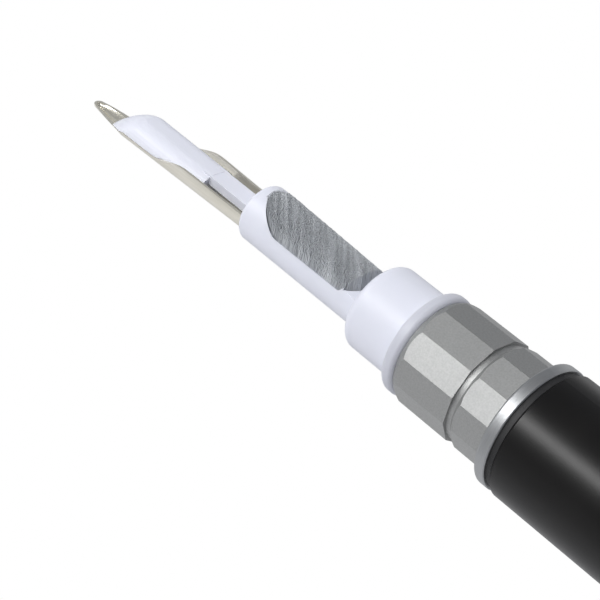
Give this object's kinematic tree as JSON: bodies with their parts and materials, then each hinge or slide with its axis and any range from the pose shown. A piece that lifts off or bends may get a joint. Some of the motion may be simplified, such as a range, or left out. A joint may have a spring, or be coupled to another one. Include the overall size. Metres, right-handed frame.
{
  "type": "earphone cleaning pen",
  "caption": "Earphone cleaning pen with the cap off: narrow metal scoop with a white core, side brush, faceted metal collar, black barrel and a pull-out sponge plug.",
  "frame": {"origin": "on the pen's axis, in the flange face that the front cap's rim stops against", "axes": "X along the pen, scoop tip towards -X and rear plug towards +X; +Z is the side on which the scoop and the brush pocket are open"},
  "size_m": [0.1208, 0.0144, 0.0144],
  "materials": {
    "tip_steel": "satin",
    "white_plastic": "gloss",
    "grey_plastic": "matte",
    "bristles": "soft fibres",
    "satin_metal": "fine blasted satin",
    "black_rubber": "matte",
    "black_shell": "satin black",
    "sponge": "flocked"
  },
  "bodies": {
    "pen": {"metal_tip": "tip_steel", "head_carrier": "white_plastic", "brush_base": "grey_plastic", "brush_bristles": "bristles", "faceted_collar": "satin_metal", "flange_ring": "satin_metal", "seal_ring": "black_rubber", "front_bush": "grey_plastic", "barrel": "black_shell", "inner_sleeve": "grey_plastic"},
    "sponge_plug": {"rear_plug": "black_shell", "plug_ring": "black_rubber", "sponge_stick": "white_plastic", "sponge_ferrule": "satin_metal", "flocked_sponge": "sponge"}
  },
  "joints": [
    {"name": "plug_pull", "type": "slide", "parent": "pen", "child": "sponge_plug", "axis": [1, 0, 0], "range_m": [0, 0.04]}
  ]
}
